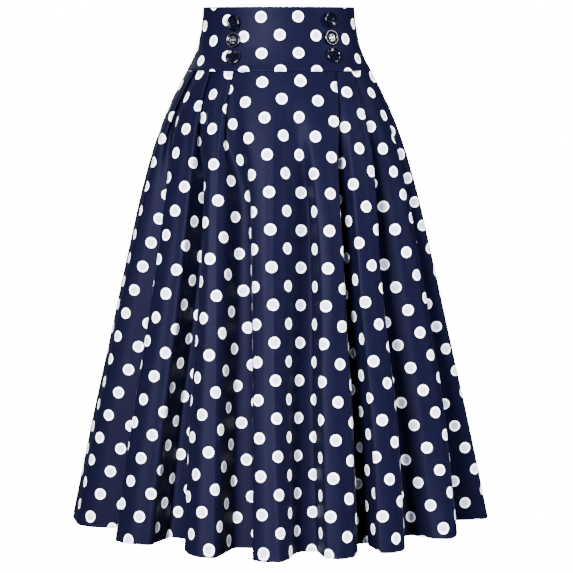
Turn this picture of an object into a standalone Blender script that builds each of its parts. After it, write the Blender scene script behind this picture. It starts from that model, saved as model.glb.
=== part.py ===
"""Pleated midi skirt on a wide shaped waistband, standing open as it is worn.

Units are metres, +Z is up and the front faces -Y. The origin is the centre of the waist
opening, level with the top edge of the waistband. Left and right are the viewer's, looking
at the front. A bearing is an angle round the body in degrees: 0 at the centre front, 90 at
the right side, 180 at the centre back.
"""
import math
from typing import NamedTuple

import bmesh
import bpy
import numpy as np
from mathutils import Matrix, Vector

MM = 0.001

# ---- Sizes of the cloth ---------------------------------------------------------------
BAND_HEIGHT = 0.0895         # waistband, top edge to seam
SKIRT_LENGTH = 0.6559        # waist seam to hem, measured straight down
SEAM_GAP = 0.0003            # left between two pieces at every seam
BAND_THICKNESS = 2.4 * MM    # two layers and the interfacing between them
CLOTH_THICKNESS = 1.3 * MM
DEPTH_RATIO = 0.82           # front-to-back size over side-to-side size
LAYER_STEP = 2.6 * MM        # one layer of a pleat to the next, centre to centre
PLEAT_ROUND = 1.5 * MM       # how far a pleat's fold takes to turn back
PLEAT_OPENS = 0.190          # below this distance from the seam a pleat has opened
VALLEY_GROWTH = 0.50         # power of the distance from the seam by which valleys deepen
LEAST_TROUGH = 0.5           # degrees across the bottom of a valley
EDGE_TURN = 0.12             # share of the way back from an edge to its crest
EDGE_SHARE = 0.7             # the edge's part in the inset there; the rest is the crest's
FLANK_STEPS = (0.34, 0.70)   # shares of the way from a right edge down to the valley
RAMP_STEPS = (0.30, 0.55, 0.80)         # shares of the way from a trough to the next crest
PLAIN_FACE_STEPS = (0.40, 0.75)         # shares of the way across a crest without a pleat
PLAIN_RUN_COLUMNS = 8
PLEAT_RETURN = ((0.35, 1.3), (0.70, 0.4))    # share of the way to the next crest, layers deep
LEAST_LEAN = 0.72            # limits how far the wall's skin moves out where a section turns
CLOTH_SHARP_ANGLE = math.radians(50)

# ---- Sizes of the trimmings -----------------------------------------------------------
BUTTON_DIAMETER = 22.4 * MM
BUTTON_HOLE = 2.3 * MM
BUTTON_HOLE_OFFSET = 2.3 * MM     # hole centre from the button's centre, along X and along Y
BUTTON_SEGMENTS = 20
DRILL_SIDES = 8
DRILL_DEPTH = 12 * MM
BUTTON_SHARP_ANGLE = math.radians(40)
SEAT_TURN = 0.5              # degrees to each side from which a seat's tilt is read
SEAT_RISE = 5 * MM           # and the same up and down
SEAT_SPREAD = 8.0            # degrees to each side in which the cloth may touch the button
SEAT_SAMPLES = 9

SLIDER_Z = -0.0115           # height of the hinge of the zip's pull
SLIDER_BODY = (5.6 * MM, 3.2 * MM, 8.6 * MM)
SLIDER_NECK = 1.0 * MM       # thickness of the plate that passes between the band's halves
SLIDER_NECK_HEIGHT = 3.6 * MM
HINGE_PLATE = 1.2 * MM       # thickness of the ring at its outer end
SLIDER_SLIT = 1.9 * MM       # opening between the band's halves round that plate
SLIT_TOP = -0.0055
SLIT_BOTTOM = -0.0175
SLIT_SHOULDER = 1.5 * MM     # height over which the opening narrows to the seam again
ROW_TOLERANCE = 1e-6
HINGE_STAND_OFF = 3.1 * MM   # hinge axis from the band's outer face
HINGE_RING = 2.5 * MM        # outer radius of the slider's ring
HINGE_BORE = 1.15 * MM       # radius of the hole in that ring
HINGE_PIN = 0.75 * MM        # radius of the pull's pin
PULL_LENGTH = 21 * MM
PULL_THICKNESS = 1.2 * MM
PULL_HALF_WIDTHS = ((3.0 * MM, 1.7 * MM), (8 * MM, 1.9 * MM), (14 * MM, 2.7 * MM),
                    (18 * MM, 2.9 * MM), (20.2 * MM, 1.8 * MM))   # (below the hinge, half width)
PRONG = 1.0 * MM
PRONG_LENGTH = 4.2 * MM
PRONG_RISE = 1.1 * MM        # top of a prong above the hinge axis
PRONG_PROUD = 0.2 * MM       # what a prong's depth adds to the tab's thickness
PIN_OVERLAP = 0.6            # share of the prongs' thickness that the pin enters
RING_SIDES = 24
BORE_SIDES = 20
PIN_SIDES = 16
HINGE_PLAY = 0.35 * MM       # free space beside the ring


class Section(NamedTuple):
    """The outline of the whole garment at one height."""
    below_waist: float
    half_width: float


SECTIONS = (
    Section(0.000, 0.1068),
    Section(0.020, 0.1083),
    Section(0.040, 0.1116),
    Section(0.060, 0.1168),
    Section(0.075, 0.1228),
    Section(0.086, 0.1290),
    Section(0.105, 0.1392),
    Section(0.140, 0.1567),
    Section(0.190, 0.1765),
    Section(0.250, 0.1945),
    Section(0.350, 0.2188),
    Section(0.470, 0.2462),
    Section(0.600, 0.2762),
    Section(0.747, 0.3080),
)

# Heights at which the fold table gives its bearings, as distances below the waist.
STATIONS = (0.086, 0.200, 0.360, 0.550, 0.747)


class Fold(NamedTuple):
    """One fold: a crest between two edges, and the valley that follows it.

    The bearings are listed at STATIONS. An inset is how far the line lies inside the
    garment's outline at the hem, in millimetres, and it shrinks to nothing at the seam.
    A trough is how far round the valley keeps its full depth at the hem, in degrees. A bulge
    is how far the crest stands out between its edges at the hem, and a tuck how far the
    pleat's under layer is folded back at the seam, both in millimetres.
    """
    name: str
    left_edge: tuple
    right_edge: tuple
    valley: tuple
    left_inset: float
    right_inset: float
    valley_inset: float
    trough: float
    bulge: float
    tuck: float
    seam: float = None


FOLDS = (
    Fold("left_side", (-103, -98, -96, -95, -94), (-67, -74, -76, -77, -78),
         (-61, -65, -66, -67, -68), 3, 14, 62, 7, 4, 18, seam=-90),
    Fold("front_1", (-58, -56, -53, -53, -52.4), (-47.5, -42.5, -40.5, -40.7, -40.7),
         (-39, -41, -42, -44, -44), 20, 36, 84, 12, 7, 18),
    Fold("front_2", (-37, -34, -30.3, -28.7, -26.4), (-29.5, -27, -22.5, -19, -16.8),
         (-23, -19.5, -17.5, -16, -14.5), 22, 4, 64, 7.5, 9, 18),
    Fold("front_3", (-18, -11.4, -8.4, -7.1, -6.4), (-1, -2, -1.6, -0.9, 0.4),
         (8, 10.5, 10, 7.5, 6.3), 2, -8, 46, 5.5, 4, 0),
    Fold("front_4", (20, 16, 15, 13.3, 12.5), (37.1, 27.3, 24, 22.2, 20),
         (42, 31, 29, 28.2, 27), 5, 7, 70, 4.5, 8, 18),
    Fold("front_5", (44, 35, 31, 30, 28), (51.4, 46.5, 40.5, 39, 35.5),
         (57, 51, 48, 46.5, 45), 16, 12, 72, 8, 7, 18),
    Fold("front_6", (61, 60, 59.5, 58, 53.5), (70.5, 70, 69, 66, 57.5),
         (78, 77, 78, 80, 81), 36, 16, 62, 2.5, 6, 18),
    Fold("right_side", (82, 84, 86, 87, 87.5), (101, 99, 97, 96, 95),
         (107, 106, 105, 104, 103), 6, 2, 62, 2.5, 4, 18, seam=90),
    Fold("back_1", (112, 112, 111, 111, 110), (125, 121, 119, 118, 117.5),
         (131, 129, 129, 129, 128), 14, 8, 68, 4.5, 7, 18),
    Fold("back_2", (136, 137, 137, 137, 137), (149, 146, 145, 144.5, 144),
         (155, 154, 154, 154, 153), 6, 2, 62, 9, 8, 18),
    Fold("back_3", (160, 165, 168, 169, 170), (201, 195, 192, 191, 190),
         (207, 204, 203, 202, 201), -2, -2, 58, 7.5, 9, 18, seam=180),
    Fold("back_4", (212, 215, 216, 216, 216), (226, 226, 225, 224, 223),
         (232, 234, 233, 232, 231), 2, 8, 68, 6, 8, 18),
    Fold("back_5", (237, 244, 246, 247, 247), (248, 250, 253, 254, 254),
         (253, 259, 261, 262, 262), 8, 10, 64, 2, 6, 18),
)
COLUMNS_PER_FOLD = 12
SEAM_COLUMN = 1              # a fold's seam, where it has one, runs down this column

# Rows of the cloth below the waist seam, closest together where the pleats open.
SKIRT_ROWS = (0, 0.014, 0.032, 0.052, 0.072, 0.092, 0.112, 0.136, 0.166, 0.210, 0.270,
              0.350, 0.440, 0.530, 0.605, SKIRT_LENGTH)
BAND_ROWS = (0, 0.016, 0.034, 0.052, 0.068, 0.080, BAND_HEIGHT)
BAND_COLUMN_ANGLE = 7.5      # degrees between the band's columns


class ButtonSeat(NamedTuple):
    name: str
    bearing: float
    below_waist: float


BUTTON_SEATS = (
    ButtonSeat("button_left_top", -34.1, 0.0230),
    ButtonSeat("button_left_middle", -33.1, 0.0465),
    ButtonSeat("button_left_bottom", -30.8, 0.0703),
    ButtonSeat("button_right_top", 40.1, 0.0184),
    ButtonSeat("button_right_middle", 39.8, 0.0433),
    ButtonSeat("button_right_bottom", 38.9, 0.0680),
)
# Half the turned outline of a button, from the middle of its back round to its face.
BUTTON_PROFILE = ((0.0, 0.0), (9.2, 0.0), (10.6, 0.5), (11.2, 1.5), (11.0, 2.6), (10.1, 3.3),
                  (9.0, 3.2), (7.6, 2.3), (6.0, 2.0), (0.0, 2.0))   # millimetres: radius, height


# ---- Curves ---------------------------------------------------------------------------
def smooth_curve(x, xs, ys):
    """A smooth curve through the points (xs, ys), read at x."""
    xs = np.asarray(xs, float)
    ys = np.asarray(ys, float)
    slopes = np.gradient(ys, xs)
    x = float(np.clip(x, xs[0], xs[-1]))
    i = int(np.clip(np.searchsorted(xs, x) - 1, 0, len(xs) - 2))
    step = xs[i + 1] - xs[i]
    s = (x - xs[i]) / step
    return ((1 + 2 * s) * (1 - s) ** 2 * ys[i] + s * s * (3 - 2 * s) * ys[i + 1]
            + s * (1 - s) ** 2 * step * slopes[i] - s * s * (1 - s) * step * slopes[i + 1])


def ease(s):
    """0 below 0, 1 above 1 and a smooth step between."""
    s = min(1.0, max(0.0, s))
    return s * s * (3 - 2 * s)


def half_width(below_waist):
    return smooth_curve(below_waist, [row.below_waist for row in SECTIONS],
                        [row.half_width for row in SECTIONS])


def outline_point(bearing, inset, below_waist):
    """A point at this bearing, this far inside the garment's outline."""
    width = half_width(below_waist)
    angle = math.radians(bearing)
    return ((width - inset) * math.sin(angle),
            -(width * DEPTH_RATIO - inset) * math.cos(angle))


def degrees_for(length, bearing, below_waist):
    """The turn in bearing that moves a point this far round the outline."""
    width = half_width(below_waist)
    angle = math.radians(bearing)
    per_radian = math.hypot(width * math.cos(angle), width * DEPTH_RATIO * math.sin(angle))
    return math.degrees(length / per_radian)


# ---- Folds ----------------------------------------------------------------------------
def fold_lines(fold, below_waist):
    """Left edge, right edge and valley of a fold at this height, as (bearing, inset)."""
    down = (below_waist - BAND_HEIGHT) / SKIRT_LENGTH
    grown = down * MM
    deepened = down ** VALLEY_GROWTH * MM
    return ((smooth_curve(below_waist, STATIONS, fold.left_edge), fold.left_inset * grown),
            (smooth_curve(below_waist, STATIONS, fold.right_edge), fold.right_inset * grown),
            (smooth_curve(below_waist, STATIONS, fold.valley), fold.valley_inset * deepened))


def between(a, b, along):
    """The point this far along from a to b; the inset changes gently at both ends."""
    s = 0.5 - 0.5 * math.cos(math.pi * along)
    return (a[0] + (b[0] - a[0]) * along, a[1] + (b[1] - a[1]) * s)


def hanging_fold(fold, left, right, valley, next_left):
    """The fold where it hangs free: a rounded crest, a flank, a valley and a ramp."""
    middle = fold.seam if fold.seam is not None else (left[0] + right[0]) / 2
    grown = valley[1] / fold.valley_inset
    crest = (middle, (left[1] + right[1]) / 2 - fold.bulge * grown)
    turn = EDGE_TURN * (right[0] - middle)
    trough_end = (valley[0] + max(fold.trough * grown / MM, LEAST_TROUGH), valley[1])
    return (left, crest, between(crest, right, 0.5),
            (right[0] - turn, right[1] * EDGE_SHARE + crest[1] * (1 - EDGE_SHARE)), right,
            *(between(right, valley, share) for share in FLANK_STEPS), valley, trough_end,
            *(between(trough_end, next_left, share) for share in RAMP_STEPS))


def pressed_fold(fold, left, right, next_left, below_waist):
    """The fold at the seam: a flat pleat of three layers, its edge over the next panel."""
    middle = fold.seam if fold.seam is not None else (left[0] + right[0]) / 2
    edge = right[0]
    if fold.tuck == 0:
        face = [middle + (edge - middle) * share for share in PLAIN_FACE_STEPS]
        run = [edge + (next_left[0] - edge) * k / PLAIN_RUN_COLUMNS
               for k in range(PLAIN_RUN_COLUMNS)]
        return ((left[0], 0), (middle, 0), *((bearing, 0) for bearing in face + run))
    turn = degrees_for(PLEAT_ROUND, edge, below_waist)
    under = edge - degrees_for(fold.tuck * MM, edge, below_waist)
    shown = edge + 2 * turn
    return ((left[0], 0), (middle, 0), ((middle + edge - turn) / 2, 0),
            (edge - turn, 0), (edge, 0.5 * LAYER_STEP),
            (edge - turn, LAYER_STEP), (under + turn, LAYER_STEP),
            (under, 1.5 * LAYER_STEP), (under + turn, 2 * LAYER_STEP), (shown, 2 * LAYER_STEP),
            *((shown + (next_left[0] - shown) * share, layers * LAYER_STEP)
              for share, layers in PLEAT_RETURN))


def cloth_section(below_waist):
    """The skirt's closed section at this height, as an array of (x, y)."""
    opened = ease((below_waist - BAND_HEIGHT) / PLEAT_OPENS)
    points = []
    for number, fold in enumerate(FOLDS):
        left, right, valley = fold_lines(fold, below_waist)
        following = FOLDS[(number + 1) % len(FOLDS)]
        next_left = fold_lines(following, below_waist)[0]
        if next_left[0] < left[0]:
            next_left = (next_left[0] + 360, next_left[1])
        hanging = hanging_fold(fold, left, right, valley, next_left) if opened else None
        pressed = pressed_fold(fold, left, right, next_left, below_waist)
        for column in range(COLUMNS_PER_FOLD):
            bearing, inset = pressed[column]
            if hanging:
                bearing += (hanging[column][0] - bearing) * opened
                inset += (hanging[column][1] - inset) * opened
            points.append(outline_point(bearing, inset, below_waist))
    return np.array(points)


# ---- Meshes ---------------------------------------------------------------------------
def side_normals(points, closed=False):
    """Outward normals in the plane at each point of a section, long enough to keep an
    even wall where the section turns."""
    if closed:
        before, after = np.roll(points, 1, axis=0), np.roll(points, -1, axis=0)
    else:
        before = np.vstack([2 * points[0] - points[1], points[:-1]])
        after = np.vstack([points[1:], 2 * points[-1] - points[-2]])
    arriving = points - before
    leaving = after - points
    arriving /= np.linalg.norm(arriving, axis=1)[:, None]
    leaving /= np.linalg.norm(leaving, axis=1)[:, None]
    mean = arriving + leaving
    mean /= np.maximum(np.linalg.norm(mean, axis=1)[:, None], 1e-9)
    stretch = 1 / np.maximum(np.sum(mean * arriving, axis=1), LEAST_LEAN)
    return np.stack([mean[:, 1], -mean[:, 0]], axis=1) * stretch[:, None]


def wall_mesh(name, sections, normals, heights, thickness):
    """A closed wall of even thickness through open sections, top row first."""
    rows, columns = len(sections), len(sections[0])
    bm = bmesh.new()
    skins = []
    for side in (0.5, -0.5):
        skins.append([[bm.verts.new((*(section[c] + normal[c] * side * thickness), -height))
                       for c in range(columns)]
                      for section, normal, height in zip(sections, normals, heights)])
    outer, inner = skins
    for r in range(rows - 1):
        for c in range(columns - 1):
            bm.faces.new((outer[r][c], outer[r + 1][c], outer[r + 1][c + 1], outer[r][c + 1]))
            bm.faces.new((inner[r][c], inner[r][c + 1], inner[r + 1][c + 1], inner[r + 1][c]))
        bm.faces.new((outer[r][0], inner[r][0], inner[r + 1][0], outer[r + 1][0]))
        bm.faces.new((outer[r][-1], outer[r + 1][-1], inner[r + 1][-1], inner[r][-1]))
    for c in range(columns - 1):
        bm.faces.new((outer[0][c], outer[0][c + 1], inner[0][c + 1], inner[0][c]))
        bm.faces.new((outer[-1][c], inner[-1][c], inner[-1][c + 1], outer[-1][c + 1]))
    mesh = bpy.data.meshes.new(name)
    bm.to_mesh(mesh)
    bm.free()
    mesh.shade_smooth()
    mesh.set_sharp_from_angle(angle=CLOTH_SHARP_ANGLE)
    return mesh


def trimmed(section, start_gap, end_gap):
    """The section with its first and last points moved in from the seams."""
    section = section.copy()
    for end, inward, gap in ((0, 1, start_gap), (-1, -2, end_gap)):
        along = section[inward] - section[end]
        section[end] += along / np.linalg.norm(along) * gap
    return section


def material(name, colour, roughness, metallic=0.0):
    made = bpy.data.materials.new(name)
    made.use_nodes = True
    shader = made.node_tree.nodes["Principled BSDF"]
    shader.inputs["Base Color"].default_value = (*colour, 1.0)
    shader.inputs["Roughness"].default_value = roughness
    shader.inputs["Metallic"].default_value = metallic
    return made


def add_object(name, mesh, finish, collection, matrix=None):
    made = bpy.data.objects.new(name, mesh)
    if finish is not None and not mesh.materials:
        mesh.materials.append(finish)
    if matrix is not None:
        made.matrix_world = matrix
    collection.objects.link(made)
    return made


# ---- Cloth pieces ---------------------------------------------------------------------
def skirt_panel(name, first_fold, last_fold, finish, collection):
    """One flared panel, from the seam on one fold to the seam on a later one."""
    first = first_fold * COLUMNS_PER_FOLD + SEAM_COLUMN
    last = last_fold * COLUMNS_PER_FOLD + SEAM_COLUMN
    total = len(FOLDS) * COLUMNS_PER_FOLD
    sections, normals, heights = [], [], []
    for row, below_seam in enumerate(SKIRT_ROWS):
        below_waist = BAND_HEIGHT + below_seam
        ring = cloth_section(below_waist)
        ring_normals = side_normals(ring, closed=True)
        columns = [c % total for c in range(first, last + 1)]
        sections.append(trimmed(ring[columns], SEAM_GAP / 2, SEAM_GAP / 2))
        normals.append(ring_normals[columns])
        heights.append(below_waist + (SEAM_GAP if row == 0 else 0))
    mesh = wall_mesh(name, sections, normals, heights, CLOTH_THICKNESS)
    return add_object(name, mesh, finish, collection)


def band_panel(name, first, last, finish, collection, slit_at_start=False, slit_at_end=False):
    """One piece of the shaped waistband between two bearings."""
    slit_rows = {-SLIT_TOP - SLIT_SHOULDER, -SLIT_TOP, -SLIT_BOTTOM, -SLIT_BOTTOM + SLIT_SHOULDER}
    rows = sorted(set(BAND_ROWS) | (slit_rows if slit_at_start or slit_at_end else set()))
    bearings = np.linspace(first, last, round((last - first) / BAND_COLUMN_ANGLE) + 1)
    sections, normals = [], []
    for below_waist in rows:
        beside_slider = (-SLIT_TOP - ROW_TOLERANCE <= below_waist
                         <= -SLIT_BOTTOM + ROW_TOLERANCE)
        ring = np.array([outline_point(b, 0, below_waist) for b in bearings])
        normals.append(side_normals(ring))
        sections.append(trimmed(
            ring,
            SLIDER_SLIT / 2 if slit_at_start and beside_slider else SEAM_GAP / 2,
            SLIDER_SLIT / 2 if slit_at_end and beside_slider else SEAM_GAP / 2))
    mesh = wall_mesh(name, sections, normals, rows, BAND_THICKNESS)
    return add_object(name, mesh, finish, collection)


# ---- Buttons --------------------------------------------------------------------------
def band_face(bearing, below_waist):
    """A point on the waistband's outer face."""
    x, y = outline_point(bearing, -BAND_THICKNESS / 2, below_waist)
    return Vector((x, y, -below_waist))


def seat_matrix(bearing, below_waist):
    """A frame on the band's outer face: Z stands out of it and X runs round the band."""
    round_band = (band_face(bearing + SEAT_TURN, below_waist)
                  - band_face(bearing - SEAT_TURN, below_waist))
    up_band = (band_face(bearing, below_waist - SEAT_RISE)
               - band_face(bearing, below_waist + SEAT_RISE))
    x_axis = round_band.normalized()
    z_axis = x_axis.cross(up_band).normalized()
    y_axis = z_axis.cross(x_axis)
    centre = band_face(bearing, below_waist)
    frame = Matrix((x_axis, y_axis, z_axis)).transposed().to_4x4()
    frame.translation = centre
    # The band is hollow from top to bottom and round from side to side, so the button is
    # lifted until its whole back clears the cloth.
    inverse = frame.inverted()
    reach = BUTTON_DIAMETER / 2
    lift = 0.0
    for down in np.linspace(-reach, reach, SEAT_SAMPLES):
        for turn in np.linspace(-SEAT_SPREAD, SEAT_SPREAD, SEAT_SAMPLES):
            local = inverse @ band_face(bearing + turn, max(0.0, below_waist + down))
            if math.hypot(local.x, local.y) <= reach:
                lift = max(lift, local.z)
    frame.translation = centre + z_axis * (lift + SEAM_GAP)
    return frame


def button_mesh(cutters):
    """A turned four-hole button with a raised rim."""
    outline = bpy.data.meshes.new("button_outline")
    points = [(radius * MM, 0, height * MM) for radius, height in reversed(BUTTON_PROFILE)]
    outline.from_pydata(points, [(k, k + 1) for k in range(len(points) - 1)], [])
    blank = bpy.data.objects.new("button_blank", outline)
    cutters.objects.link(blank)
    turn = blank.modifiers.new("Turn", "SCREW")
    turn.steps = turn.render_steps = BUTTON_SEGMENTS
    turn.use_merge_vertices = True
    turn.merge_threshold = 0.00001
    for sx in (-1, 1):
        for sy in (-1, 1):
            bpy.ops.mesh.primitive_cylinder_add(
                vertices=DRILL_SIDES, radius=BUTTON_HOLE / 2, depth=DRILL_DEPTH,
                location=(sx * BUTTON_HOLE_OFFSET, sy * BUTTON_HOLE_OFFSET, 0))
            drill = bpy.context.object
            drill.name = f"button_drill_{sx}_{sy}".replace("-", "m")
            for owner in list(drill.users_collection):
                owner.objects.unlink(drill)
            cutters.objects.link(drill)
            hide_cutter(drill)
            cut = blank.modifiers.new(f"Hole {sx} {sy}", "BOOLEAN")
            cut.operation = "DIFFERENCE"
            cut.object = drill
    graph = bpy.context.evaluated_depsgraph_get()
    mesh = bpy.data.meshes.new_from_object(blank.evaluated_get(graph))
    mesh.name = "button"
    mesh.shade_smooth()
    mesh.set_sharp_from_angle(angle=BUTTON_SHARP_ANGLE)
    bpy.data.objects.remove(blank)
    return mesh


def hide_cutter(cutter):
    cutter.hide_render = True
    cutter.display_type = "WIRE"


def make_buttons(finish, collection, cutters):
    mesh = button_mesh(cutters)
    mesh.materials.clear()
    for seat in BUTTON_SEATS:
        add_object(seat.name, mesh, finish, collection,
                   seat_matrix(seat.bearing, seat.below_waist))


# ---- Zip ------------------------------------------------------------------------------
def hinge_point():
    """Where the axis of the pull's hinge crosses the centre back."""
    face = band_face(180, -SLIDER_Z)
    return Vector((0, face.y + HINGE_STAND_OFF, SLIDER_Z))


def add_box(name, size, centre, cutters):
    bpy.ops.mesh.primitive_cube_add(size=1, location=centre)
    made = bpy.context.object
    made.name = name
    made.scale = size
    bpy.ops.object.transform_apply(location=False, rotation=False, scale=True)
    move_to(made, cutters)
    hide_cutter(made)
    return made


def add_rod(name, radius, length, centre, sides, cutters):
    """A cylinder along X."""
    bpy.ops.mesh.primitive_cylinder_add(vertices=sides, radius=radius, depth=length,
                                        location=centre, rotation=(0, math.pi / 2, 0))
    made = bpy.context.object
    made.name = name
    bpy.ops.object.transform_apply(location=False, rotation=True, scale=False)
    move_to(made, cutters)
    hide_cutter(made)
    return made


def move_to(made, collection):
    for owner in list(made.users_collection):
        owner.objects.unlink(made)
    collection.objects.link(made)


def combine(target, other, operation):
    step = target.modifiers.new(operation.title(), "BOOLEAN")
    step.operation = operation
    step.object = other


def make_slider(finish, collection, cutters):
    """Slider body inside the band, a neck through the slit and a ring outside."""
    hinge = hinge_point()
    depth, height = SLIDER_BODY[1:]
    inner_face = band_face(180, -SLIDER_Z - height / 2).y - BAND_THICKNESS
    body_centre = (0, inner_face - SEAM_GAP - depth / 2, SLIDER_Z)
    slider = add_box("zip_slider", SLIDER_BODY, body_centre, collection)
    slider.hide_render = False
    slider.display_type = "TEXTURED"
    neck_start = body_centre[1]
    neck_end = hinge.y
    neck = add_box("slider_neck", (SLIDER_NECK, neck_end - neck_start, SLIDER_NECK_HEIGHT),
                   (0, (neck_start + neck_end) / 2, SLIDER_Z), cutters)
    ring = add_rod("slider_ring", HINGE_RING, HINGE_PLATE, hinge, RING_SIDES, cutters)
    bore = add_rod("slider_bore", HINGE_BORE, 4 * HINGE_PLATE, hinge, BORE_SIDES, cutters)
    for other, operation in ((neck, "UNION"), (ring, "UNION"), (bore, "DIFFERENCE")):
        combine(slider, other, operation)
    slider.data.materials.append(finish)
    return slider


def make_pull(finish, collection, cutters):
    """A teardrop tab hanging from two prongs and a pin."""
    hinge = hinge_point()
    right = [(half, -down) for down, half in PULL_HALF_WIDTHS]
    outline = right + [(0, -PULL_LENGTH)] + [(-x, z) for x, z in reversed(right)]
    bm = bmesh.new()
    loop = [bm.verts.new((x, -PULL_THICKNESS / 2, z)) for x, z in outline]
    face = bm.faces.new(loop)
    grown = bmesh.ops.extrude_face_region(bm, geom=[face])
    lifted = [item for item in grown["geom"] if isinstance(item, bmesh.types.BMVert)]
    bmesh.ops.translate(bm, verts=lifted, vec=(0, PULL_THICKNESS, 0))
    bmesh.ops.recalc_face_normals(bm, faces=bm.faces)
    mesh = bpy.data.meshes.new("zip_pull")
    bm.to_mesh(mesh)
    bm.free()
    pull = add_object("zip_pull", mesh, finish, collection, Matrix.Translation(hinge))
    prong_x = HINGE_PLATE / 2 + HINGE_PLAY + PRONG / 2
    for side in (-1, 1):
        prong = add_box(f"pull_prong_{'left' if side < 0 else 'right'}",
                        (PRONG, PULL_THICKNESS + PRONG_PROUD, PRONG_LENGTH),
                        (side * prong_x, hinge.y, hinge.z - PRONG_LENGTH / 2 + PRONG_RISE),
                        cutters)
        combine(pull, prong, "UNION")
    pin = add_rod("pull_pin", HINGE_PIN, 2 * prong_x + PRONG * PIN_OVERLAP, hinge, PIN_SIDES,
                  cutters)
    combine(pull, pin, "UNION")
    return pull


# ---- The whole skirt ------------------------------------------------------------------
def main():
    for old in list(bpy.data.objects):
        bpy.data.objects.remove(old)
    parts = bpy.data.collections.new("pleated_midi_skirt")
    cutters = bpy.data.collections.new("cutters")
    for collection in (parts, cutters):
        bpy.context.scene.collection.children.link(collection)

    cloth = {"front": (0.020, 0.022, 0.058), "back": (0.018, 0.020, 0.054)}
    fold_of = {fold.name: number for number, fold in enumerate(FOLDS)}
    folds = len(FOLDS)
    panels = (
        ("skirt_front", fold_of["left_side"], fold_of["right_side"], cloth["front"]),
        ("skirt_back_right", fold_of["right_side"], fold_of["back_3"], cloth["back"]),
        ("skirt_back_left", fold_of["back_3"], fold_of["left_side"] + folds, cloth["back"]),
    )
    for name, first, last, colour in panels:
        skirt_panel(name, first, last, material(name + "_cloth", colour, 0.85), parts)
    bands = (
        ("waistband_front", -90, 90, cloth["front"], False, False),
        ("waistband_back_right", 90, 180, cloth["back"], False, True),
        ("waistband_back_left", 180, 270, cloth["back"], True, False),
    )
    for name, first, last, colour, slit_at_start, slit_at_end in bands:
        band_panel(name, first, last, material(name + "_cloth", colour, 0.85), parts,
                   slit_at_start, slit_at_end)
    make_buttons(material("button_plastic", (0.008, 0.008, 0.014), 0.22), parts, cutters)
    make_slider(material("slider_metal", (0.03, 0.03, 0.05), 0.4, 0.6), parts, cutters)
    make_pull(material("pull_metal", (0.03, 0.03, 0.05), 0.35, 0.6), parts, cutters)


main()
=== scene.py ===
"""Dresses the pleated midi skirt: fine cloth, its print, the sewing, the buttons and the zip.

Units are metres, +Z is up and the front faces -Y. The origin is the centre of the waist
opening. A bearing is an angle round the body in degrees: 0 at the centre front, 90 at the
right side (the viewer's), 180 at the centre back. The section tables and formulas are those
of the solids, at many more heights and points.
"""
import math
from collections import namedtuple
from functools import partial

import bpy
import numpy as np
from mathutils import Matrix, Vector


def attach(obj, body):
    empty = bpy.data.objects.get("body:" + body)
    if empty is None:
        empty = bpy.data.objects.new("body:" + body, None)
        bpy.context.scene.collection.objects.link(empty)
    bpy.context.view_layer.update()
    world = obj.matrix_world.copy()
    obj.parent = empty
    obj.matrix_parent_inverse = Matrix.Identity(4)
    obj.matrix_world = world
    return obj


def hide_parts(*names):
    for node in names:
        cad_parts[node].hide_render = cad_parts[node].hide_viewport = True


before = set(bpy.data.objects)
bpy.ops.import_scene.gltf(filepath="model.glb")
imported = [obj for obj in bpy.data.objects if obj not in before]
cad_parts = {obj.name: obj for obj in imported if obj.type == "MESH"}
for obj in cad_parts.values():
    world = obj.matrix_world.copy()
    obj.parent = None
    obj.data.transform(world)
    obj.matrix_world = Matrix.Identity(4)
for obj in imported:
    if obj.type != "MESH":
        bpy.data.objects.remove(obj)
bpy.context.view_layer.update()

MM = 0.001

# ---- Sizes shared with the solids ----
BAND_HEIGHT = 0.0895
SKIRT_LENGTH = 0.6559
SEAM_GAP = 0.0003
BAND_THICKNESS = 2.4 * MM
CLOTH_THICKNESS = 1.3 * MM
DEPTH_RATIO = 0.82
LAYER_STEP = 2.6 * MM
PLEAT_ROUND = 1.5 * MM
PLEAT_OPENS = 0.190
VALLEY_GROWTH = 0.50
LEAST_TROUGH = 0.5
BUTTON_DIAMETER = 22.4 * MM
BUTTON_HOLE = 2.3 * MM
BUTTON_HOLE_OFFSET = 2.3 * MM
# The outline of the whole garment: distances below the waist, and its half width at each.
SECTION_HEIGHTS = (0.000, 0.020, 0.040, 0.060, 0.075, 0.086, 0.105, 0.140, 0.190, 0.250,
                   0.350, 0.470, 0.600, 0.747)
HALF_WIDTHS = (0.1068, 0.1083, 0.1116, 0.1168, 0.1228, 0.1290, 0.1392, 0.1567, 0.1765, 0.1945,
               0.2188, 0.2462, 0.2762, 0.3080)
STATIONS = (0.086, 0.200, 0.360, 0.550, 0.747)


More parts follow.
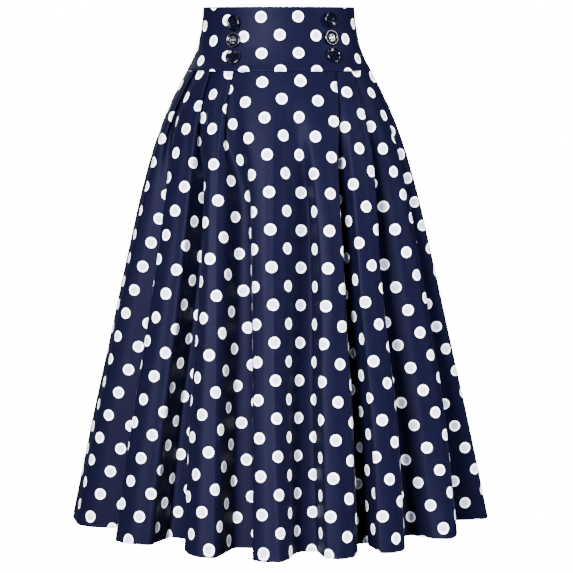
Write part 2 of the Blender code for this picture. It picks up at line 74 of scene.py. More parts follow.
# One fold, as in the solids: bearings at STATIONS, insets and tucks in millimetres.
Fold = namedtuple("Fold", "name left_edge right_edge valley left_inset right_inset "
                          "valley_inset trough bulge tuck seam", defaults=[None])
FOLDS = [Fold(*row) for row in (
    ("left_side", (-103, -98, -96, -95, -94), (-67, -74, -76, -77, -78),
     (-61, -65, -66, -67, -68), 3, 14, 62, 7, 4, 18, -90),
    ("front_1", (-58, -56, -53, -53, -52.4), (-47.5, -42.5, -40.5, -40.7, -40.7),
     (-39, -41, -42, -44, -44), 20, 36, 84, 12, 7, 18),
    ("front_2", (-37, -34, -30.3, -28.7, -26.4), (-29.5, -27, -22.5, -19, -16.8),
     (-23, -19.5, -17.5, -16, -14.5), 22, 4, 64, 7.5, 9, 18),
    ("front_3", (-18, -11.4, -8.4, -7.1, -6.4), (-1, -2, -1.6, -0.9, 0.4),
     (8, 10.5, 10, 7.5, 6.3), 2, -8, 46, 5.5, 4, 0),
    ("front_4", (20, 16, 15, 13.3, 12.5), (37.1, 27.3, 24, 22.2, 20),
     (42, 31, 29, 28.2, 27), 5, 7, 70, 4.5, 8, 18),
    ("front_5", (44, 35, 31, 30, 28), (51.4, 46.5, 40.5, 39, 35.5),
     (57, 51, 48, 46.5, 45), 16, 12, 72, 8, 7, 18),
    ("front_6", (61, 60, 59.5, 58, 53.5), (70.5, 70, 69, 66, 57.5),
     (78, 77, 78, 80, 81), 36, 16, 62, 2.5, 6, 18),
    ("right_side", (82, 84, 86, 87, 87.5), (101, 99, 97, 96, 95),
     (107, 106, 105, 104, 103), 6, 2, 62, 2.5, 4, 18, 90),
    ("back_1", (112, 112, 111, 111, 110), (125, 121, 119, 118, 117.5),
     (131, 129, 129, 129, 128), 14, 8, 68, 4.5, 7, 18),
    ("back_2", (136, 137, 137, 137, 137), (149, 146, 145, 144.5, 144),
     (155, 154, 154, 154, 153), 6, 2, 62, 9, 8, 18),
    ("back_3", (160, 165, 168, 169, 170), (201, 195, 192, 191, 190),
     (207, 204, 203, 202, 201), -2, -2, 58, 7.5, 9, 18, 180),
    ("back_4", (212, 215, 216, 216, 216), (226, 226, 225, 224, 223),
     (232, 234, 233, 232, 231), 2, 8, 68, 6, 8, 18),
    ("back_5", (237, 244, 246, 247, 247), (248, 250, 253, 254, 254),
     (253, 259, 261, 262, 262), 8, 10, 64, 2, 6, 18),
)]
COLUMNS_PER_FOLD = 12
SEAM_COLUMN = 1
FOLD_NUMBER = {fold.name: number for number, fold in enumerate(FOLDS)}


# Where a button sits, and how its threads let it lean: turns in degrees.
ButtonSeat = namedtuple("ButtonSeat", "name bearing below_waist nod lean spin")
BUTTON_SEATS = [ButtonSeat(*row) for row in (
    ("button_left_top", -34.1, 0.0230, 2.0, -10.0, 14),
    ("button_left_middle", -33.1, 0.0465, 0.0, 0.0, 4),
    ("button_left_bottom", -30.8, 0.0703, -4.5, 2.0, -6),
    ("button_right_top", 40.1, 0.0184, 4.0, 9.0, -20),
    ("button_right_middle", 39.8, 0.0433, 0.0, 0.0, 8),
    ("button_right_bottom", 38.9, 0.0680, -4.5, -2.0, 24),
)]

# ---- Sizes of the finer cloth ----
COLUMN_STEP = 4.1 * MM  # wanted width of a strip of the mesh, where the skirt is wide
SPACING_HEIGHT = 0.60  # the height at which that width is measured
SKIRT_ROW_COUNT = 142
BAND_ROW_COUNT = 44
BAND_COLUMN_ANGLE = 1.0
HEM_DEPTH = 0.014  # turned up inside
EDGE_ROUND = 0.6 * MM
BAND_EDGE_ROUND = 1.3 * MM
HEM_EXTRA = 0.5 * MM  # what the turned layer adds to the wall
SEAM_ROLL = 0.45 * MM  # how far cloth rolls in at a seam
SEAM_ROLL_WIDTH = 1.6 * MM
STITCH_RADIUS = 0.20 * MM
THREAD_PITCH_MM = 0.46  # of the weave
TUBE_UP = np.array([0.31, 0.22, 0.92])  # never along a thread, so it can turn its ring
END_MARGIN = 0.0015  # kept by the strips inside from a piece's top and bottom

# ---- Print: round dots on a square lattice turned 45 degrees ----
DOT_PITCH_ACROSS = 0.0513  # between dots in one row
DOT_PITCH_DOWN = 0.0517  # between rows whose dots stand in line
DOT_DIAMETER = 0.0158
DOT_INSIDE = (0.38, 0.41, 0.57)  # shares of the white inside a dot's rim
DOT_RIM = (0.58, 0.78)  # where the rim begins, in shares of the dot's radius
SECTOR_RADIUS = 0.585  # inner radius of the flared panels' flat cut
BAND_RADIUS = 0.66  # inner radius of the band's flat cut
FRONT_DOT = (-0.002, 0.0396)  # a dot's place on the front: across and down from the seam
BACK_DOT = (0.012, 0.0130)
BACK_BAND_DOT = (0.012, 0.026)
BAND_DOT = (0.001, 0.0395)  # the same on the band, down from its top edge
BAND_PRINT_TILT = math.radians(0.9)
SKIRT_PRINT_TILT = math.radians(-2.5)
UNROLL_ROW_STEP = 3  # every third row of the cloth is laid flat, the rest between
UNROLL_ROUNDS = 50
# How firmly the flat cut keeps the cloth's own lengths at each table column of a fold: what
# can't be laid flat is taken up deep in the valleys.
HOLD = (1.0, 1.0, 1.0, 1.0, 0.9, 0.6, 0.3, 0.15, 0.15, 0.3, 0.6, 0.9)


# ---- Curves and sections, as in the solids ----
def smooth_curve(x, xs, ys):
    xs, ys = np.asarray(xs, float), np.asarray(ys, float)
    slopes = np.gradient(ys, xs)
    x = float(np.clip(x, xs[0], xs[-1]))
    i = int(np.clip(np.searchsorted(xs, x) - 1, 0, len(xs) - 2))
    step = xs[i + 1] - xs[i]
    s = (x - xs[i]) / step
    return ((1 + 2 * s) * (1 - s) ** 2 * ys[i] + s * s * (3 - 2 * s) * ys[i + 1]
            + s * (1 - s) ** 2 * step * slopes[i] - s * s * (1 - s) * step * slopes[i + 1])


def ease(s):
    s = np.clip(s, 0.0, 1.0)
    return s * s * (3 - 2 * s)


def half_width(below_waist):
    return smooth_curve(below_waist, SECTION_HEIGHTS, HALF_WIDTHS)


def outline_point(bearing, inset, below_waist):
    width = half_width(below_waist)
    angle = math.radians(bearing)
    return ((width - inset) * math.sin(angle),
            -(width * DEPTH_RATIO - inset) * math.cos(angle))


def degrees_for(length, bearing, below_waist):
    width = half_width(below_waist)
    angle = math.radians(bearing)
    per_radian = math.hypot(width * math.cos(angle), width * DEPTH_RATIO * math.sin(angle))
    return math.degrees(length / per_radian)


def fold_lines(fold, below_waist):
    down = (below_waist - BAND_HEIGHT) / SKIRT_LENGTH
    grown = down * MM
    deepened = down ** VALLEY_GROWTH * MM
    return [(smooth_curve(below_waist, STATIONS, bearings), inset) for bearings, inset in (
        (fold.left_edge, fold.left_inset * grown), (fold.right_edge, fold.right_inset * grown),
        (fold.valley, fold.valley_inset * deepened))]


def between(a, b, along):
    s = 0.5 - 0.5 * math.cos(math.pi * along)
    return (a[0] + (b[0] - a[0]) * along, a[1] + (b[1] - a[1]) * s)


def hanging_fold(fold, middle, left, right, valley, next_left):
    grown = valley[1] / fold.valley_inset
    crest = (middle, (left[1] + right[1]) / 2 - fold.bulge * grown)
    turn = 0.12 * (right[0] - middle)
    trough_end = (valley[0] + max(fold.trough * grown / MM, LEAST_TROUGH), valley[1])
    return (left, crest, between(crest, right, 0.5),
            (right[0] - turn, right[1] * 0.7 + crest[1] * 0.3), right,
            between(right, valley, 0.34), between(right, valley, 0.70), valley,
            trough_end, between(trough_end, next_left, 0.30),
            between(trough_end, next_left, 0.55), between(trough_end, next_left, 0.80))


def pressed_fold(fold, middle, left, right, next_left, below_waist):
    edge = right[0]
    if fold.tuck == 0:
        bearings = [edge + (next_left[0] - edge) * k / 8 for k in range(8)]
        return ((left[0], 0), (middle, 0), (middle * 0.6 + edge * 0.4, 0),
                (middle * 0.25 + edge * 0.75, 0), *((bearing, 0) for bearing in bearings))
    turn = degrees_for(PLEAT_ROUND, edge, below_waist)
    under = edge - degrees_for(fold.tuck * MM, edge, below_waist)
    shown = edge + 2 * turn
    return ((left[0], 0), (middle, 0), ((middle + edge - turn) / 2, 0),
            (edge - turn, 0), (edge, 0.5 * LAYER_STEP),
            (edge - turn, LAYER_STEP), (under + turn, LAYER_STEP),
            (under, 1.5 * LAYER_STEP), (under + turn, 2 * LAYER_STEP), (shown, 2 * LAYER_STEP),
            (shown + (next_left[0] - shown) * 0.35, 1.3 * LAYER_STEP),
            (shown + (next_left[0] - shown) * 0.70, 0.4 * LAYER_STEP))


def cloth_section(below_waist):
    opened = float(ease((below_waist - BAND_HEIGHT) / PLEAT_OPENS))
    points = []
    for fold, following in zip(FOLDS, FOLDS[1:] + FOLDS[:1]):
        left, right, valley = fold_lines(fold, below_waist)
        next_left = fold_lines(following, below_waist)[0]
        if next_left[0] < left[0]:
            next_left = (next_left[0] + 360, next_left[1])
        middle = fold.seam if fold.seam is not None else (left[0] + right[0]) / 2
        pressed = pressed_fold(fold, middle, left, right, next_left, below_waist)
        hanging = (hanging_fold(fold, middle, left, right, valley, next_left) if opened
                   else pressed)
        for (bearing, inset), free in zip(pressed, hanging):
            points.append(outline_point(bearing + (free[0] - bearing) * opened,
                                        inset + (free[1] - inset) * opened, below_waist))
    return np.array(points)


# ---- The fine cloth surface ----
def curve_span(p0, p1, p2, p3, steps):
    """Points from p1 towards p2 on a centripetal Catmull-Rom curve; the arrays are
    (rows, 2) and the result is (rows, steps, 2)."""
    def knot(a, b):
        return np.sqrt(np.maximum(np.linalg.norm(b - a, axis=-1), 1e-7))[:, None, None]
    p0, p1, p2, p3 = (p[:, None, :] for p in (p0, p1, p2, p3))
    t1 = knot(p0[:, 0], p1[:, 0])
    t2 = t1 + knot(p1[:, 0], p2[:, 0])
    t3 = t2 + knot(p2[:, 0], p3[:, 0])
    t = t1 + (t2 - t1) * (np.arange(steps) / steps)[None, :, None]
    def blend(start, end, a, b):
        return (end - t) / (end - start) * a + (t - start) / (end - start) * b
    middle = blend(t1, t2, p1, p2)
    return blend(t1, t2, blend(0, t2, blend(0, t1, p0, p1), middle),
                 blend(t1, t3, middle, blend(t2, t3, p2, p3)))


def fine_rings(heights):
    """The closed section at each height, and where each of its table columns falls."""
    table = np.array([cloth_section(height) for height in heights])
    spaced = cloth_section(SPACING_HEIGHT)
    count = len(spaced)
    lengths = np.linalg.norm(np.roll(spaced, -1, axis=0) - spaced, axis=1)
    steps = np.maximum(2, np.round(lengths / COLUMN_STEP)).astype(int)
    spans = [curve_span(table[:, i - 1], table[:, i], table[:, (i + 1) % count],
                        table[:, (i + 2) % count], steps[i]) for i in range(count)]
    return np.concatenate(spans, axis=1), np.concatenate([[0], np.cumsum(steps)])


def unit(vectors):
    return vectors / np.maximum(np.linalg.norm(vectors, axis=-1, keepdims=True), 1e-9)


def arc_of(points):
    """How far along its row each point is."""
    steps = np.linalg.norm(np.diff(points, axis=-2), axis=-1)
    return np.concatenate([np.zeros((*steps.shape[:-1], 1)), np.cumsum(steps, axis=-1)],
                          axis=-1)


def points_at(places, arc, line):
    """Points of a line at some distances along it."""
    return np.stack([np.interp(places, arc, line[:, k]) for k in range(3)], axis=1)


# Soft troughs (ridges, if the depth is negative) laid on the folds: the table columns
# of the two ends, their distances below the waist, and the width and depth in millimetres.
CREASES = {
    "front_1": ((1.2, 2.6, 0.095, 0.250, 7, 1.2), (9.6, 10.8, 0.180, 0.420, 10, 1.6)),
    "front_2": ((0.6, 1.6, 0.090, 0.230, 6, 1.1), (2.6, 1.2, 0.200, 0.480, 11, -1.4),
                (9.2, 10.2, 0.100, 0.260, 8, 1.5)),
    "front_3": ((0.4, 1.4, 0.330, 0.700, 14, 1.6), (5.0, 4.6, 0.092, 0.210, 9, 1.0),
                (10.4, 11.2, 0.240, 0.520, 12, 1.5)),
    "front_4": ((1.0, 2.2, 0.120, 0.300, 9, 0.9), (1.4, 0.6, 0.380, 0.747, 14, 1.7)),
    "front_5": ((1.2, 2.2, 0.100, 0.250, 7, 1.2), (10.2, 11.0, 0.300, 0.600, 12, 1.6)),
    "front_6": ((1.4, 0.8, 0.110, 0.260, 7, 1.3), (10.0, 10.6, 0.320, 0.747, 14, 2.0)),
    "left_side": ((1.6, 2.4, 0.120, 0.330, 9, 1.4), (9.4, 10.4, 0.360, 0.680, 13, 1.8)),
    "right_side": ((1.8, 2.6, 0.105, 0.280, 8, 1.3),),
    "back_1": ((1.0, 2.2, 0.100, 0.270, 8, 1.3), (10.0, 10.8, 0.260, 0.560, 12, 1.7)),
    "back_2": ((1.4, 0.6, 0.120, 0.290, 8, 1.2), (9.6, 10.6, 0.420, 0.747, 14, 1.8)),
    "back_3": ((0.4, 0.7, 0.160, 0.420, 10, 1.4), (2.2, 2.8, 0.130, 0.360, 10, 1.5),
               (9.8, 10.8, 0.380, 0.700, 13, 1.7)),
    "back_4": ((0.8, 2.0, 0.100, 0.260, 8, 1.2), (10.2, 11.0, 0.330, 0.640, 12, 1.6)),
    "back_5": ((1.2, 2.2, 0.110, 0.300, 8, 1.3), (9.8, 10.4, 0.400, 0.720, 13, 1.8)),
}


def creased(rings, heights, places):
    """The rings with every crease pressed into them."""
    arc = arc_of(np.concatenate([rings, rings[:, :1]], axis=1))
    arc, around = arc[:, :-1], arc[:, -1:]
    tangent = unit(np.roll(rings, -1, axis=1) - np.roll(rings, 1, axis=1))
    inward = np.stack([-tangent[..., 1], tangent[..., 0]], axis=-1)
    depth = np.zeros(arc.shape)
    columns = np.arange(rings.shape[1])
    for fold, creases in CREASES.items():
        for top, bottom, start, end, width, deep in creases:
            along = (heights - start) / (end - start)
            column = (FOLD_NUMBER[fold] * COLUMNS_PER_FOLD + top
                      + (bottom - top) * np.clip(along, 0, 1))
            place = np.interp(column, np.arange(len(places)), places)
            fade = ease(along / 0.3)
            if end < BAND_HEIGHT + SKIRT_LENGTH - 0.001:
                fade = fade * ease((1 - along) / 0.4)
            for row in np.nonzero(fade > 0)[0]:
                away = np.abs(arc[row] - np.interp(place[row], columns, arc[row]))
                away = np.minimum(away, around[row] - away)
                depth[row] += fade[row] * deep * MM * np.exp(-(away / (width * MM)) ** 2)
    return rings + inward * depth[..., None]


def unrolled(points, start, hold):
    """Where each point of a cloth grid lies once the cloth is laid flat.

    Every triangle of the grid is turned in the plane without stretching it, and then the
    points are put where the triangles agree best; the two steps are repeated.
    """
    rows, columns = points.shape[:2]
    index = np.arange(rows * columns).reshape(rows, columns)
    corners = (index[:-1, :-1], index[1:, :-1], index[1:, 1:], index[:-1, 1:])
    triangles = np.concatenate([np.stack([corners[k] for k in picked], -1).reshape(-1, 3)
                                for picked in ((0, 1, 2), (0, 2, 3))])
    p = points.reshape(-1, 3)[triangles]
    side, other = p[:, 1] - p[:, 0], p[:, 2] - p[:, 0]
    flat = np.zeros((len(triangles), 3, 2))
    flat[:, 1, 0] = np.linalg.norm(side, axis=1)
    flat[:, 2, 0] = np.sum(side * other, axis=1) / flat[:, 1, 0]
    flat[:, 2, 1] = np.sqrt(np.maximum(np.sum(other ** 2, axis=1) - flat[:, 2, 0] ** 2, 1e-14))
    firm = np.broadcast_to(hold, (rows, columns)).ravel()[triangles].mean(axis=1)
    diagonal, below = np.zeros((2, rows, columns, columns))
    edges = []
    for k in range(3):
        i, j = (k + 1) % 3, (k + 2) % 3
        u, v = flat[:, i] - flat[:, k], flat[:, j] - flat[:, k]
        weight = firm * np.clip(np.sum(u * v, axis=1)
                                / np.abs(u[:, 0] * v[:, 1] - u[:, 1] * v[:, 0]), 0.05, 20)
        edges.append((i, j, weight, flat[:, i] - flat[:, j]))
        a = np.minimum(triangles[:, i], triangles[:, j])
        b = np.maximum(triangles[:, i], triangles[:, j])
        (ra, ca), (rb, cb) = divmod(a, columns), divmod(b, columns)
        level = ra == rb
        for matrix, place, value in (
                (diagonal, (ra, ca, ca), weight), (diagonal, (rb, cb, cb), weight),
                (diagonal, (ra, ca, cb), -weight * level),
                (diagonal, (ra, cb, ca), -weight * level),
                (below, (ra, ca, cb), -weight * ~level)):
            np.add.at(matrix, place, value)
    pin = columns // 2
    diagonal[0, pin, pin] += 1.0
    inverses = [np.linalg.inv(diagonal[0])]
    for r in range(1, rows):
        inverses.append(np.linalg.inv(
            diagonal[r] - below[r - 1].T @ inverses[-1] @ below[r - 1]))
    place = start.reshape(-1, 2).copy()
    held = place[pin].copy()
    for _ in range(UNROLL_ROUNDS):
        corner = place[triangles]
        cosine = sine = 0.0
        for i, j, weight, edge in edges:
            now = corner[:, i] - corner[:, j]
            cosine += weight * np.sum(now * edge, axis=1)
            sine += weight * (now[:, 1] * edge[:, 0] - now[:, 0] * edge[:, 1])
        size = np.hypot(cosine, sine)
        cosine, sine = cosine / size, sine / size
        target = np.zeros((rows * columns, 2))
        for i, j, weight, edge in edges:
            turned = np.stack([cosine * edge[:, 0] - sine * edge[:, 1],
                               sine * edge[:, 0] + cosine * edge[:, 1]], axis=1)
            np.add.at(target, triangles[:, i], turned * weight[:, None])
            np.add.at(target, triangles[:, j], -turned * weight[:, None])
        target = target.reshape(rows, columns, 2)
        target[0, pin] += held
        partial = [target[0]]
        for r in range(1, rows):
            partial.append(target[r] - below[r - 1].T @ (inverses[r - 1] @ partial[-1]))
        solved = [inverses[-1] @ partial[-1]]
        for r in range(rows - 2, -1, -1):
            solved.append(inverses[r] @ (partial[r] - below[r] @ solved[-1]))
        place = np.array(solved[::-1]).reshape(-1, 2)
    return place.reshape(rows, columns, 2)


def in_sector(across, radius):
    """Where a distance along an arc of some radius comes to lie, across and down."""
    return radius * np.sin(across / radius), radius * np.cos(across / radius)


def flat_cut(grid, hold, grain_columns):
    """The whole cloth grid laid flat: across and down from where its grain line starts.

    The grain line is the column that grain_columns gives at the top and at the hem.
    """
    rows = np.unique(np.append(np.arange(0, len(grid), UNROLL_ROW_STEP), len(grid) - 1))
    coarse = grid[rows]
    first = grain_columns[0]
    arc = arc_of(coarse)
    across = arc - arc[:, first:first + 1]
    fallen = arc_of(coarse[:, first])[:, None]
    laid = unrolled(coarse, np.stack(in_sector(across, SECTOR_RADIUS + fallen), axis=-1), hold)
    laid = laid - laid[0, first]
    end = laid[-1, grain_columns[1]]
    turn = math.atan2(end[0], end[1])
    laid = laid @ np.array([[math.cos(turn), math.sin(turn)], [-math.sin(turn), math.cos(turn)]])
    return np.array([[np.interp(np.arange(len(grid)), rows, line) for line in part.T]
                     for part in (laid[..., 0], laid[..., 1])]).T


def print_place(u, d, dot, tilt):
    """Coordinates in which every dot of the print sits on whole numbers."""
    a = (u * math.cos(tilt) - d * math.sin(tilt) - dot[0]) / DOT_PITCH_ACROSS
    b = (d * math.cos(tilt) + u * math.sin(tilt) - dot[1]) / DOT_PITCH_DOWN
    return np.stack([a + b, b - a], axis=-1)


# ---- Meshes ----
def with_edge_columns(grid, *carried):
    """The grid with extra columns close to its two side edges, for the roll of a seam, and
    anything else that goes with its points, widened in the same way."""
    extra = (0.25 * SEAM_ROLL_WIDTH, 0.8 * SEAM_ROLL_WIDTH, 1.7 * SEAM_ROLL_WIDTH)

    def shares(edge, inner):
        reach = np.maximum(np.linalg.norm(inner - edge, axis=-1, keepdims=True), 1e-6)
        return [np.minimum(d / reach, 0.8 * (k + 1) / len(extra)) for k, d in enumerate(extra)]

    def steps(edge, inner, parts):
        return np.stack([edge + (inner - edge) * s for s in parts], axis=1)
    start = shares(grid[:, 0], grid[:, 1])
    end = shares(grid[:, -1], grid[:, -2])[::-1]
    return [np.concatenate([values[:, :1], steps(values[:, 0], values[:, 1], start),
                            values[:, 1:-1], steps(values[:, -1], values[:, -2], end),
                            values[:, -1:]], axis=1) for values in (grid, *carried)]


def drawn_in(grid):
    """Draws a piece's two side edges in from their seams."""
    for end, inward in ((0, 1), (-1, -2)):
        grid[:, end] += unit(grid[:, inward] - grid[:, end]) * SEAM_GAP / 2
    return grid


def surface_normals(grid):
    return unit(np.cross(np.gradient(grid, axis=1), -np.gradient(grid, axis=0)))


def seam_roll(grid, share=1.0):
    """How far each point rolls in, by its distance from the nearer side edge."""
    arc = arc_of(grid)
    away = np.minimum(arc, arc[:, -1:] - arc)
    return share * SEAM_ROLL * np.exp(-(away / SEAM_ROLL_WIDTH) ** 2)


def add_object(name, data):
    made = bpy.data.objects.new(name, data)
    bpy.context.scene.collection.objects.link(made)
    return made


def new_mesh(name, verts, faces):
    mesh = bpy.data.meshes.new(name)
    mesh.from_pydata(verts, [], faces)
    return mesh


def add_rings(verts, faces, points, sides):
    """Adds a closed shape whose points go round in rings, from its one end to the other."""
    base = len(verts)
    verts += points
    for low in range(base, len(verts) - sides, sides):
        for k in range(sides):
            j = (k + 1) % sides
            faces.append((low + k, low + j, low + sides + j, low + sides + k))
    faces.append(tuple(range(base + sides - 1, base - 1, -1)))
    faces.append(tuple(range(len(verts) - sides, len(verts))))


def add_turned(verts, faces, profile, steps, x=0.0, y=0.0):
    """Adds a closed turned shape; its profile is a list of radii and heights."""
    turns = [2 * math.pi * k / steps for k in range(steps)]
    add_rings(verts, faces, [(x + radius * math.cos(a), y + radius * math.sin(a), z)
                             for radius, z in profile for a in turns], steps)


def shell(name, grid, normals, outer, inner, uv, finish):
    """A closed thin shell: the grid moved out by outer and in by inner, with its print."""
    rows, columns = grid.shape[:2]
    skins = np.concatenate([(grid + normals * outer[..., None]).reshape(-1, 3),
                            (grid - normals * inner[..., None]).reshape(-1, 3)])
    index = np.arange(rows * columns).reshape(rows, columns)
    back = index + rows * columns

    def quads(*corners):
        return np.stack([corner.ravel() for corner in corners], axis=1)
    faces = np.concatenate([
        quads(index[:-1, :-1], index[1:, :-1], index[1:, 1:], index[:-1, 1:]),
        quads(back[:-1, :-1], back[:-1, 1:], back[1:, 1:], back[1:, :-1]),
        quads(index[:-1, 0], back[:-1, 0], back[1:, 0], index[1:, 0]),
        quads(index[:-1, -1], index[1:, -1], back[1:, -1], back[:-1, -1]),
        quads(index[0, :-1], index[0, 1:], back[0, 1:], back[0, :-1]),
        quads(index[-1, :-1], back[-1, :-1], back[-1, 1:], index[-1, 1:])])
    mesh = new_mesh(name, skins.tolist(), faces.tolist())
    layer = mesh.uv_layers.new(name="print")
    layer.data.foreach_set("uv", np.concatenate([uv.reshape(-1, 2)] * 2)[faces].ravel())
    quads_per_skin = (rows - 1) * (columns - 1)
    slots = np.zeros(len(faces), dtype=np.int32)
    slots[quads_per_skin:2 * quads_per_skin] = 1
    for face_material in finish:
        mesh.materials.append(face_material)
    mesh.polygons.foreach_set("material_index", slots)
    mesh.shade_smooth()
    return add_object(name, mesh)


def edge_rounding(distance, radius):
    """1 away from an edge, falling round to a little at the edge itself."""
    s = np.clip(distance / radius, 0, 1)
    return 0.15 + 0.85 * np.sqrt(1 - (1 - s) ** 2)


# ---- Materials ----
class Graph:
    """A short way to write a material's nodes."""

    def __init__(self, name):
        self.material = bpy.data.materials.new(name)
        self.material.use_nodes = True
        self.tree = self.material.node_tree

    def feed(self, socket, value):
        if isinstance(value, bpy.types.NodeSocket):
            self.tree.links.new(value, socket)
        else:
            socket.default_value = value

    def node(self, kind, output, inputs, **settings):
        """One output of a new node that has these inputs and settings."""
        made = self.tree.nodes.new("ShaderNode" + kind)
        for key, value in settings.items():
            setattr(made, key, value)
        for key, value in inputs.items():
            self.feed(made.inputs[key], value)
        return made.outputs[output]

    def math(self, operation, a, b=0.0):
        return self.node("Math", 0, {0: a, 1: b}, operation=operation)

    def remap(self, value, low, high, to_low, to_high, smooth=True):
        return self.node("MapRange", "Result", {
            "From Min": low, "From Max": high, "To Min": to_low, "To Max": to_high,
            "Value": value}, interpolation_type="SMOOTHSTEP" if smooth else "LINEAR")

    def mix(self, factor, a, b):
        return self.node("Mix", "Result", {"Factor": factor, "A": a, "B": b}, data_type="RGBA")

    def noise(self, vector, scale, detail=2.0, roughness=0.5):
        return self.node("TexNoise", "Fac", {"Vector": vector, "Scale": scale,
                                             "Detail": detail, "Roughness": roughness})

    def bump(self, height, strength, distance):
        return self.node("Bump", "Normal", {"Strength": strength, "Distance": distance,
                                            "Height": height})

    def set(self, **values):
        shader = self.tree.nodes["Principled BSDF"]
        for key, value in values.items():
            self.feed(shader.inputs[key.replace("_", " ")], value)


def tinted(colour, share):
    return (*[min(1.0, c * share) for c in colour], 1)


def dotted_cloth(name, navy, white, reverse=False):
    """Closely woven cotton printed with dots; its reverse is paler and duller."""
    g = Graph(name)
    add, subtract, multiply = (partial(g.math, kind) for kind in ("ADD", "SUBTRACT", "MULTIPLY"))
    uv = g.node("UVMap", "UV", {}, uv_map="print")
    x, y = (g.node("SeparateXYZ", axis, {0: uv}) for axis in "XY")
    near = [subtract(value, g.math("ROUND", value)) for value in (x, y)]
    from_dot = (multiply(subtract(*near), DOT_PITCH_ACROSS / 2),
                multiply(add(*near), DOT_PITCH_DOWN / 2))
    radius = g.math("SQRT", add(*(multiply(d, d) for d in from_dot)))
    # Places in millimetres of cloth, for the threads.
    thread_u = multiply(subtract(x, y), DOT_PITCH_ACROSS / MM / 2)
    thread_d = multiply(add(x, y), DOT_PITCH_DOWN / MM / 2)
    cloth = g.node("CombineXYZ", 0, {"X": thread_u, "Y": thread_d})
    bleed = multiply(subtract(g.noise(cloth, 1.1, 1.0), 0.5), 0.5 * MM)
    half = DOT_DIAMETER / 2
    soft = (0.9 if reverse else 0.22) * MM
    dot = g.remap(add(radius, bleed), half - soft, half + soft, 1.0, 0.0)
    shade = g.noise(cloth, 0.045, 3.0, 0.6)
    threads = g.noise(cloth, 2.2, 2.0, 0.7)
    dark = g.mix(g.remap(shade, 0.3, 0.7, 0.0, 1.0), tinted(navy, 0.90), tinted(navy, 1.12))
    dark = g.mix(g.remap(threads, 0.35, 0.75, 0.0, 0.35), dark, tinted(navy, 1.5))
    light = g.mix(g.remap(threads, 0.3, 0.8, 0.0, 0.5), tinted(white, 1), tinted(white, 0.93))
    if not reverse:
        # The print lies a little thinner inside a dot than along its rim.
        light = g.mix(g.remap(radius, DOT_RIM[0] * half, DOT_RIM[1] * half, 1.0, 0.0), light,
                      (*[c * s for c, s in zip(white, DOT_INSIDE)], 1))
    turn = 2 * math.pi / THREAD_PITCH_MM
    weave = multiply(*(g.math("SINE", multiply(at, turn)) for at in (thread_u, thread_d)))
    g.set(Base_Color=g.mix(dot, dark, light),
          Roughness=g.remap(threads, 0.2, 0.8, 0.46, 0.56, smooth=False),
          Normal=g.bump(add(multiply(weave, 0.5), threads), 0.22, 0.05 * MM),
          Specular_IOR_Level=0.031, Specular_Tint=(0.60, 0.60, 1.0, 1.0),
          Sheen_Weight=0.004, Sheen_Roughness=0.38, Sheen_Tint=(0.62, 0.68, 1.0, 1.0))
    return g.material


def plain(name, colour, roughness, scale, grain, specular=0.5, relief=0.10):
    """A solid colour with fine grain in its tone, gloss and surface."""
    g = Graph(name)
    place = g.node("TexCoord", "Object", {})
    speckle = g.noise(place, scale, 3.0, 0.6)
    cloud = g.noise(place, scale / 12)
    tone = g.mix(g.remap(speckle, 0.3, 0.7, 0.0, 1.0), tinted(colour, 1 - grain),
                 tinted(colour, 1 + grain))
    g.set(Base_Color=g.mix(g.remap(cloud, 0.3, 0.7, 0.0, 0.3), tone, tinted(colour, 0.8)),
          Roughness=g.remap(cloud, 0.2, 0.8, roughness * 0.8, min(1.0, roughness * 1.25)),
          Normal=g.bump(speckle, relief, 0.02 * MM), Specular_IOR_Level=specular)
    return g.material


NAVY = (0.0016, 0.0016, 0.0068)
WHITE = (0.95, 0.95, 0.97)
face_cloth = dotted_cloth("cloth_face", NAVY, WHITE)
reverse_cloth = dotted_cloth("cloth_reverse", (0.0040, 0.0042, 0.0140), (0.07, 0.08, 0.13),
                             reverse=True)
thread_navy = plain("thread", (0.0019, 0.0020, 0.0068), 0.9, 2500, 0.3, specular=0.02)
button_gloss = plain("button_gloss", (0.0009, 0.0010, 0.0034), 0.12, 120, 0.0, specular=0.34,
                     relief=0.0)
zip_metal = plain("zip_metal_painted", (0.010, 0.011, 0.028), 0.38, 1500, 0.2)
zip_nylon = plain("zip_nylon", (0.006, 0.007, 0.020), 0.45, 2500, 0.1, specular=0.3, relief=0)
zip_tape = plain("zip_tape", (0.004, 0.005, 0.016), 0.85, 3000, 0.3, specular=0.05)

# ---- Camera, studio and light ----
camera_data = bpy.data.cameras.new("camera")
camera_data.lens = 130.73
camera = add_object("camera", camera_data)
camera.location = (0.0109, -3.0, -0.0287)
camera.rotation_euler = (math.radians(90 - 7.1), 0, 0)
bpy.context.scene.camera = camera

FLOOR_Z = -1.06
WALL_TOP = 5.0
STUDIO_RADIUS = 8.0
FLOOR_CURVE = 1.4  # radius of the curve between the floor and the wall
CEILING_RISE = 3.0

